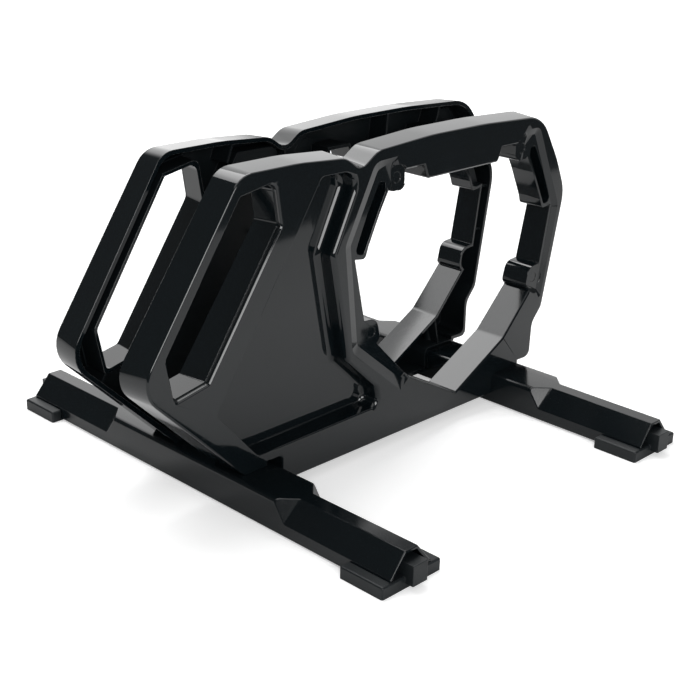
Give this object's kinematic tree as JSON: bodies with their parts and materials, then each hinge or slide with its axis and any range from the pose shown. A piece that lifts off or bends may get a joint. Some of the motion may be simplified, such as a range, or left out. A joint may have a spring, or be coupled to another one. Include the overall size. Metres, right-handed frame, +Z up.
{
  "type": "bicycle wheel floor stand",
  "caption": "Floor stand that holds a bicycle wheel between two moulded side frames on two cross bars.",
  "frame": {"origin": "on the floor, below the middle of the stand's box", "axes": "+Z up; the wheel rolls in along X, with the low sloping end at -X; the bars lie along Y"},
  "size_m": [0.4744, 0.4446, 0.261],
  "materials": {
    "black_plastic": "glossy moulded plastic",
    "grey_rubber": "matte",
    "zinc_steel": "zinc plated"
  },
  "bodies": {
    "root": {"side_frame_right": "black_plastic", "side_frame_left": "black_plastic", "base_bar_front": "black_plastic", "base_bar_rear": "black_plastic", "end_foot_front_right": "grey_rubber", "end_foot_front_left": "grey_rubber", "end_foot_rear_right": "grey_rubber", "end_foot_rear_left": "grey_rubber", "frame_screw_front_right": "zinc_steel", "frame_screw_front_left": "zinc_steel", "frame_screw_rear_right": "zinc_steel", "frame_screw_rear_left": "zinc_steel"}
  },
  "joints": []
}
